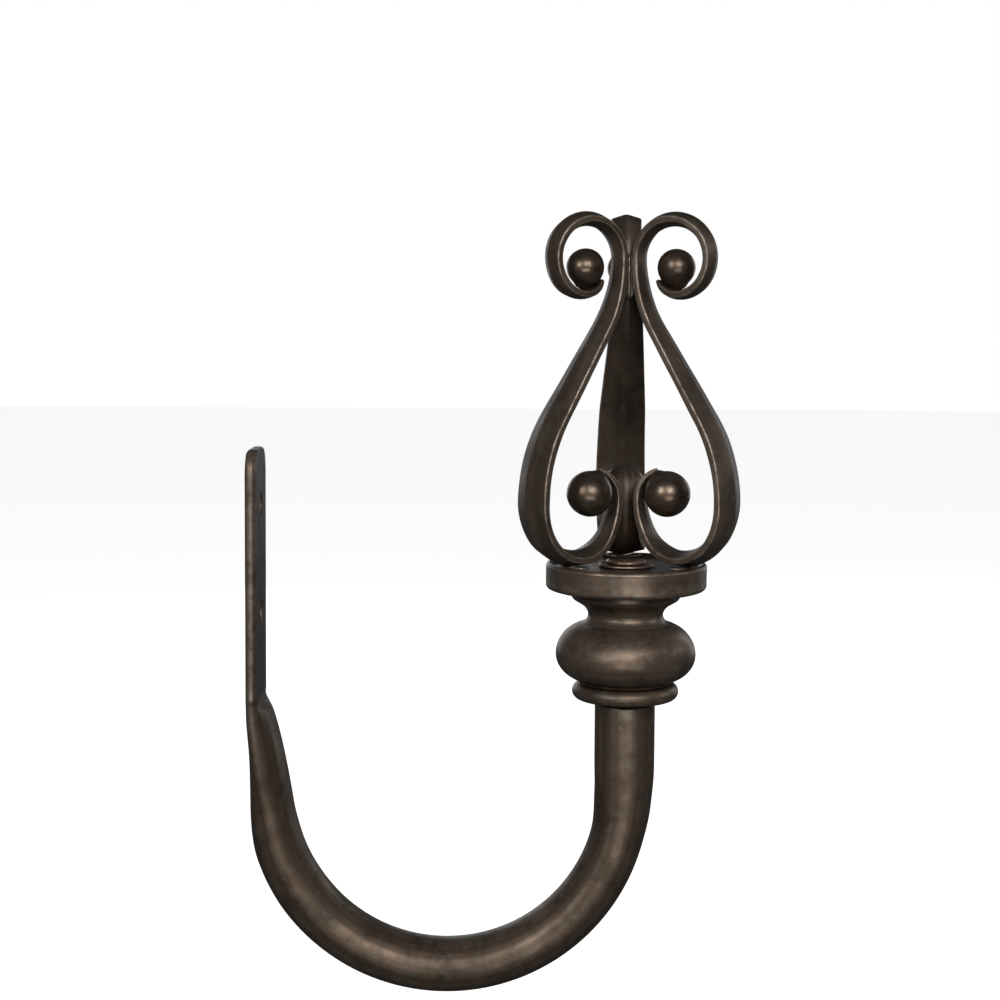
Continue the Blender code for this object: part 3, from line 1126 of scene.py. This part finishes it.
@dataclass
class Cage(Assembly):
    """Three scroll bands with their balls and weld pads, and the braze between them.

    A stretch of a band is (radius, sweep in degrees, width, edge thickness, ridge height), with
    the section at its end. A sweep of 0 is a straight of that length. The foot is the radius and
    the height of a weld pad's middle.
    """

    body: str = "finial"
    belly: tuple[float, float] = (28.7, 54.5)
    belly_section: tuple[float, float, float] = (13.8, 1.6, 1.7)
    downward: tuple = (
        (18.0, -30.0, 13.0, 1.6, 1.6),
        (11.5, -60.0, 12.6, 1.6, 1.4),
        (11.5, -28.0, 10.2, 1.6, 1.2),
        (11.0, -32.0, 7.2, 1.6, 0.8),
        (20.5, -30.0, 5.6, 1.5, 0.6),
        (7.6, -42.0, 3.4, 1.1, 0.35),
        (7.2, -26.0, 1.0, 0.7, 0.15),
    )
    upward: tuple = (
        (42.0, 32.0, 12.6, 1.6, 1.6),
        (26.4, 0.0, 9.0, 1.6, 1.4),
        (35.0, -32.0, 6.0, 1.4, 0.9),
        (10.1, -90.0, 8.2, 1.6, 1.3),
        (10.0, -90.0, 6.6, 1.5, 1.1),
        (10.2, -40.0, 6.7, 1.6, 0.9),
        (8.1, -50.0, 6.6, 1.6, 0.7),
        (6.9, -40.0, 4.4, 1.3, 0.45),
        (6.7, -20.0, 1.8, 0.8, 0.15),
    )
    foot: tuple[float, float] = (16.3, 37.46)
    step: float = 0.45
    tip: float = 0.5
    dent: float = 0.05

    def walk(self, heading_deg: float, stretches: tuple) -> tuple[Array, Array, Array, Array]:
        """Follow arcs and straights from the belly.

        The heading is the running sum of the turns, and each chord 2 R sin(turn / 2) points
        along the heading at its middle.

        Args:
            heading_deg: Heading at the start.
            stretches: The stretches to follow.

        Returns:
            Points as (count, 2), headings in radians, lengths, and sections as (count, 3).
        """
        turns, chords, ends = [], [], [0.0]
        for size, sweep, *_ in stretches:
            length = size if sweep == 0 else size * math.radians(abs(sweep))
            count = max(3, round(length / self.step))
            turn = math.radians(sweep) / count
            chord = length / count if sweep == 0 else 2 * size * math.sin(abs(turn) / 2)
            turns.append(np.full(count, turn))
            chords.append(np.full(count, chord))
            ends.append(ends[-1] + chord * count)
        turn, chord = np.concatenate(turns), np.concatenate(chords)
        heading = math.radians(heading_deg) + running(turn)
        middle = heading[:-1] + turn / 2
        r = self.belly[0] + running(chord * np.cos(middle))
        h = self.belly[1] + running(chord * np.sin(middle))
        length = running(chord)
        knots = np.array([self.belly_section] + [tuple(s[2:]) for s in stretches])
        section = np.stack([np.interp(length, ends, knots[:, k]) for k in range(3)], axis=1)
        return np.stack([r, h], axis=1), heading, length, section

    def band(self) -> Surface:
        """One band in the plane of X and Z, about the finial's axis.

        Its ring has six corners: two flat edges of the edge thickness and a ridge on each face.
        The corners are rounded, the ridges most, and both tips are closed by domes.

        Returns:
            The band's surface, before it is turned to its bearing.
        """
        down, down_heading, down_length, down_section = self.walk(-90.0, self.downward)
        up, up_heading, up_length, up_section = self.walk(90.0, self.upward)
        path = np.concatenate([down[:0:-1], up])
        heading = np.concatenate([down_heading[:0:-1] + math.pi, up_heading])
        length = np.concatenate([-down_length[:0:-1], up_length])
        section = softened(np.concatenate([down_section[:0:-1], up_section]), 9)
        heading = softened(heading, 3)
        cap = np.linspace(0.0, 1.0, 6)[1:, None]
        shrink, rise = np.sqrt(1.0 - cap**2), self.tip * cap
        ways = np.stack([np.cos(heading), np.sin(heading)], axis=1)
        first, last = path[:1] - ways[:1] * rise[::-1], path[-1:] + ways[-1:] * rise
        path = np.concatenate([first, path, last])
        heading = np.concatenate([np.repeat(heading[:1], 5), heading, np.repeat(heading[-1:], 5)])
        ends = (length[0] - rise[::-1, 0], length, length[-1] + rise[:, 0])
        length = np.concatenate(ends)[:, None]
        section = np.concatenate([section[:1] * shrink[::-1], section, section[-1:] * shrink])
        width, edge, ridge = section.T
        half, out, peak = width / 2, edge / 2, edge / 2 + ridge
        outer = ((out, -half), (peak, 0 * half), (out, half))
        inner = ((-out, half), (-peak, 0 * half), (-out, -half))
        corners = np.stack([np.stack(corner, axis=1) for corner in outer + inner], axis=1)
        slim = width[:, None] / 6.0
        reach = np.array([0.42, 0.9, 0.42] * 2) * np.clip(slim, 0.15, 1.0)
        ring, close = rounded_ring(corners + 1e-9, reach, 8)
        worn = np.repeat([1.0, 0.22, 1.0] * 2, 8)[None, :]
        out, across = ring[..., 0], ring[..., 1]
        dents = self.dent * np.sin(length / 3.1) * np.sin(across / 2.7 + length / 9.0)
        out = out + dents * np.sign(out) * np.clip(slim, 0.0, 1.0)
        r = path[:, :1] + np.sin(heading)[:, None] * out
        h = path[:, 1:] - np.cos(heading)[:, None] * out
        points = np.stack([r, across, h], axis=-1)
        flow = np.stack(np.broadcast_arrays(length, across, out), axis=-1)
        wear = repeated_ends(close * worn)
        return Surface(closed_ends(points), repeated_ends(flow), wear, sharp_deg=60.0)

    def ball(self, node: str, seat_deg: tuple[float, float]) -> Surface:
        """A ball with the braze that joins it to its scroll.

        The radius is R plus 0.75 mm times a window of the angle in the band's plane and
        exp(-(y / 0.27 R)^2), plus a slight unevenness from forging.

        Args:
            node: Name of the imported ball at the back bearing.
            seat_deg: First and last angle of the braze in the band's plane.

        Returns:
            The ball's surface, before it is turned to its bearing.
        """
        radius, low, high = self.extent(node)
        centre_r = round(sum(corner.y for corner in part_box(node)) / 2 / MM, 2)
        centre_h = round((low + high) / 2, 2)
        polar = np.linspace(0.0, math.pi, 57)[:, None]
        turn = full_turn(84)
        nx, nz = np.sin(polar) * np.cos(turn), np.sin(polar) * np.sin(turn)
        ny = np.cos(polar) + 0 * turn
        angle = np.degrees(np.arctan2(nz, nx)) % 360.0
        window = smooth_step(seat_deg[0] - 14, seat_deg[0] + 6, angle)
        window *= 1.0 - smooth_step(seat_deg[1] - 6, seat_deg[1] + 14, angle)
        seat = 0.75 * window * np.exp(-((ny / 0.27) ** 2))
        uneven = 0.035 * np.sin(3.0 * turn + 1.0) * np.sin(polar) ** 2 + 0.03 * np.cos(5.0 * polar)
        size = radius - 0.03 + uneven + seat
        points = np.stack([centre_r + size * nx, size * ny, centre_h + size * nz], axis=-1)
        flow = np.stack([radius * nx, radius * ny, radius * nz], axis=-1)
        wear = 0.25 * window * np.exp(-((ny / 0.3) ** 2)) + 0.12
        return Surface(points, flow, wear, sharp_deg=80.0)

    def pad(self) -> Surface:
        """A weld pad: a squarish flat lump with ripples, hollowed along the band's ridge.

        With u and v its polar angles, each half size is multiplied by a power 0.7 of the sine or
        cosine, and its top is lowered by 0.75 exp(-(y / 2.3)^2).

        Returns:
            The pad's surface, before it is turned to its bearing.
        """
        u = np.linspace(-math.pi / 2, math.pi / 2, 33)[:, None]
        v = full_turn(60)
        waves = (np.cos(u), np.sin(u), np.cos(v), np.sin(v))
        cu, su, cv, sv = (np.copysign(np.abs(wave) ** 0.7, wave) for wave in waves)
        middle_r, middle_h = self.foot
        y = 5.0 * cu * sv
        ripple = 1.0 + 0.05 * np.sin(y * 4.2 + 0.8 * v)
        x = 2.4 * cu * cv * ripple
        hollow = 0.75 * np.exp(-((y / 2.3) ** 2)) * smooth_step(-0.2, 0.9, su + 0 * v)
        h = middle_h + 0.66 * su - hollow + 0 * v
        points = np.stack([middle_r - 0.3 + x, y, h], axis=-1)
        flow = np.stack([x, y, h - middle_h], axis=-1)
        wear = np.clip(0.4 + 0.6 * su, 0.0, 1.0) + 0 * v
        return Surface(points, flow, wear, sharp_deg=80.0)

    def braze(self) -> Surface:
        """The three-lobed fillet of braze in the valley between the bands.

        Its radius is 1.15 - 0.2 cos(3 (a - 90)) mm, so it reaches out between the bands, and it
        tapers at both ends by the root of 1 - u^6.

        Returns:
            The fillet's surface.
        """
        turn = full_turn(36)
        u = np.linspace(-1.0, 1.0, 61)[:, None]
        taper = np.sqrt(1.0 - u**6)
        radius = (1.15 - 0.2 * np.cos(3.0 * (turn - math.pi / 2))) * taper
        radius = radius * (1.0 + 0.03 * np.sin(9.0 * u))
        _, low, high = self.extent("neck_braze")
        h = (low + high) / 2 + (high - low) / 2 * u + 0 * turn
        x, y = radius * np.cos(turn), radius * np.sin(turn)
        points = np.stack([self.reach + x, y, self.mouth + h], axis=-1)
        return Surface(points, np.stack([h, x, y], axis=-1), 0.3 + 0 * x, sharp_deg=80.0)

    def turned_to(self, surface: Surface, side: Side) -> Surface:
        """Turn a surface about the axis to a bearing, and lift it to the mouth's height.

        Args:
            surface: A surface in the plane of X and Z.
            side: The bearing.

        Returns:
            The surface in its place.
        """
        angle = math.radians(side.value)
        r, y, h = (surface.points[..., k] for k in range(3))
        x = self.reach + r * math.cos(angle) - y * math.sin(angle)
        y = r * math.sin(angle) + y * math.cos(angle)
        return replace(surface, points=np.stack([x, y, self.mouth + h], axis=-1))

    def build(self) -> None:
        """Build and dress the cage."""
        slot = "oil_rubbed_bronze"
        parts = (
            ("band", self.band(), FORGED_BRONZE),
            ("lower_ball", self.ball("lower_ball_back", (112.0, 196.0)), BALL_BRONZE),
            ("upper_ball", self.ball("upper_ball_back", (222.0, 300.0)), BALL_BRONZE),
            ("foot_weld", self.pad(), WELD_BRONZE),
        )
        for side in Side:
            for kind, surface, finish in parts:
                node = f"{kind}_{side.name.lower()}"
                piece = self.turned_to(surface, side).to_object(f"{node}_fine")
                self.dress(piece, node, finish, slot)
        self.dress(self.braze().to_object("braze_fillet"), "neck_braze", WELD_BRONZE, slot)


# ---------------------------------------------------------------- studio


@dataclass(frozen=True)
class SoftLight:
    """A soft rectangular light. Angles are about the object, from the camera's side."""

    name: str
    azimuth: float
    elevation: float
    distance: float
    width: float
    height: float
    watts: float
    colour: Colour = (1.0, 1.0, 1.0)

    def place(self, target: Vector) -> None:
        """Hang the light and aim it at the target.

        Args:
            target: The point it looks at, in metres.
        """
        a, e = math.radians(self.azimuth), math.radians(self.elevation)
        back = Vector((math.sin(a) * math.cos(e), -math.cos(a) * math.cos(e), math.sin(e)))
        data = bpy.data.lights.new(self.name, "AREA")
        data.shape = "RECTANGLE"
        data.size, data.size_y = self.width, self.height
        data.energy = self.watts
        data.color = self.colour
        lamp = bpy.data.objects.new(self.name, data)
        bpy.context.scene.collection.objects.link(lamp)
        lamp.location = target + back * self.distance
        lamp.rotation_euler = back.to_track_quat("Z", "Y").to_euler()


@dataclass
class Studio:
    """A pale floor, plain soft lights, a plain surround and the camera.

    The eye is the camera's place in metres, and pitch and roll are in degrees.
    """

    eye: Vector = field(default_factory=lambda: Vector((0.06601, -0.51261, 0.06948)))
    pitch: float = 3.9195
    roll: float = 0.3068
    lens: float = 70.2
    shift: float = -0.07
    floor_height: float = -0.19
    floor_span: float = 4.0
    target: Vector = field(default_factory=lambda: Vector((0.066, 0.0, -0.01)))
    lights: tuple[SoftLight, ...] = (
        SoftLight("key_softbox", 12.0, 26.0, 1.1, 0.55, 0.40, 7.0, (1.0, 0.965, 0.92)),
        SoftLight("left_softbox", -34.0, 22.0, 1.1, 0.34, 0.40, 4.0, (1.0, 0.98, 0.95)),
        SoftLight("low_reflector", 4.0, -14.0, 1.2, 0.9, 0.30, 4.0, (1.0, 0.97, 0.94)),
        SoftLight("right_rim", 140.0, 8.0, 1.1, 0.30, 0.6, 0.9),
        SoftLight("back_fill", -165.0, 6.0, 1.2, 0.8, 0.5, 2.0),
        SoftLight("side_fill", 92.0, 20.0, 1.3, 0.35, 0.5, 1.4),
    )

    def surround(self) -> None:
        """A surround that is white to the eye and dim to the metal."""
        world = bpy.data.worlds.new("studio_surround")
        bpy.context.scene.world = world
        world.use_nodes = True
        wiring = Wiring(world.node_tree)
        wiring.tree.nodes.clear()
        seen = wiring.node("Background", Color=(1.0, 1.0, 1.0))
        felt = wiring.node("Background", Color=(0.96, 0.98, 1.0), Strength=0.085)
        mix = wiring.node("MixShader", Fac=wiring.node("LightPath").outputs["Is Camera Ray"])
        wiring.feed(mix.inputs[1], felt.outputs[0])
        wiring.feed(mix.inputs[2], seen.outputs[0])
        out = wiring.tree.nodes.new("ShaderNodeOutputWorld")
        wiring.feed(out.inputs["Surface"], mix.outputs[0])

    def floor(self) -> None:
        """A pale floor well below the hook, which doesn't tint the metal."""
        mesh = bpy.data.meshes.new("floor")
        span = self.floor_span
        ways = ((-span, -span), (span, -span), (span, span), (-span, span))
        corners = [(*way, self.floor_height) for way in ways]
        mesh.from_pydata(corners, [], [(0, 1, 2, 3)])
        floor = bpy.data.objects.new("floor", mesh)
        bpy.context.scene.collection.objects.link(floor)
        look = bpy.data.materials.new("pale_floor")
        look.use_nodes = True
        for label, value in (
            ("Base Color", (0.86, 0.86, 0.85, 1.0)),
            ("Roughness", 0.9),
            ("Specular IOR Level", 0.0),
            ("Emission Color", (1.0, 1.0, 1.0, 1.0)),
            ("Emission Strength", 0.86),
        ):
            look.node_tree.nodes["Principled BSDF"].inputs[label].default_value = value
        mesh.materials.append(look)
        floor.visible_glossy = False
        floor.visible_diffuse = False

    def camera(self) -> None:
        """The camera, level with the cage's top and looking a little down."""
        pitch, roll = math.radians(self.pitch), math.radians(self.roll)
        ahead = Vector((0.0, math.cos(pitch), -math.sin(pitch)))
        right = Vector((1.0, 0.0, 0.0))
        up = right.cross(ahead)
        right, up = (
            math.cos(roll) * right + math.sin(roll) * up,
            math.cos(roll) * up - math.sin(roll) * right,
        )
        data = bpy.data.cameras.new("camera")
        data.sensor_width = 36.0
        data.lens = self.lens
        data.shift_y = self.shift
        data.clip_start, data.clip_end = 0.01, 20.0
        camera = bpy.data.objects.new("camera", data)
        bpy.context.scene.collection.objects.link(camera)
        turn = Matrix((right, up, -ahead)).transposed()
        camera.matrix_world = Matrix.Translation(self.eye) @ turn.to_4x4()
        bpy.context.scene.camera = camera

    def build(self) -> None:
        """Set up the whole studio."""
        self.surround()
        self.floor()
        for light in self.lights:
            light.place(self.target)
        self.camera()
        view = bpy.context.scene.view_settings
        view.view_transform = "Standard"
        view.look = "None"
        LOG.info("studio: %d lights", len(self.lights))


def main() -> None:
    """Build the holdback and its studio."""
    logging.basicConfig(level=logging.INFO, format="%(message)s")
    for assembly in (Hook(), Plug(), Seat(), Stack(), Cage()):
        assembly.build()
    Studio().build()


if __name__ == "__main__":
    main()
